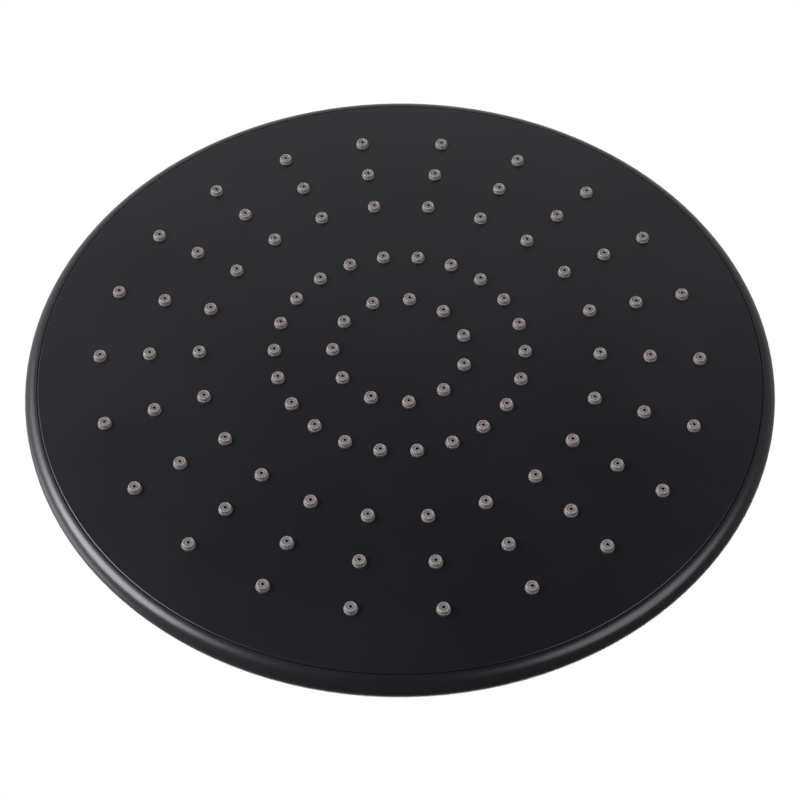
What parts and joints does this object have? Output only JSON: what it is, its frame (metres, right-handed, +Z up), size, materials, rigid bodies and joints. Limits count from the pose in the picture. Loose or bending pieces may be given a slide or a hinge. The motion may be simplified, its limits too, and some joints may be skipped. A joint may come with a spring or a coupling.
{
  "type": "rain shower head",
  "caption": "Round overhead rain shower head with a domed nozzle face, rounded rim and a swivel ball joint with a threaded inlet.",
  "frame": {"origin": "middle of the inlet's mouth, on top of the hexagon", "axes": "+Z up out of the inlet, towards the shower arm, as the head hangs; the nozzles point along -Z; a nozzle of every ring lies on +X"},
  "size_m": [0.2256, 0.2256, 0.0766],
  "materials": {
    "satin_black": "fine satin, matt black moulding",
    "silicone_grey": "matt warm grey silicone",
    "black_metal": "matt black coating",
    "brass": "machined",
    "black_rubber": "matt",
    "white_plastic": "smooth natural acetal",
    "inner_plastic": "plain moulding",
    "green_plastic": "smooth",
    "steel": "plain steel"
  },
  "bodies": {
    "root": {"ball_fitting": "black_metal", "inlet_washer": "black_rubber", "filter_frame": "white_plastic", "filter_screen": "steel", "flow_regulator_body": "green_plastic", "flow_regulator_ring": "black_rubber"},
    "seal_body": {"ball_seal": "black_rubber"},
    "slip_body": {"slip_ring": "white_plastic"},
    "head": {"collar_nut": "black_metal", "hub_socket": "brass", "hub_gasket": "black_rubber", "hub_lock_nut": "brass", "back_housing": "satin_black", "face_plate": "satin_black", "nozzle_mat": "silicone_grey", "inner_plate": "inner_plastic", "inner_plate_screws": "steel", "chamber_seal": "black_rubber", "diffuser_disc": "inner_plastic", "diffuser_screws": "steel"}
  },
  "joints": [
    {"name": "tilt_about_x", "type": "hinge", "parent": "root", "child": "seal_body", "pos_m": [0, 0, -0.0325], "axis": [1, 0, 0], "range_deg": [-15, 15]},
    {"name": "tilt_about_y", "type": "hinge", "parent": "seal_body", "child": "slip_body", "pos_m": [0, 0, -0.0325], "axis": [0, 1, 0], "range_deg": [-15, 15]},
    {"name": "spin", "type": "hinge", "parent": "slip_body", "child": "head", "pos_m": [0, 0, -0.0325], "axis": [0, 0, 1], "continuous": true}
  ]
}
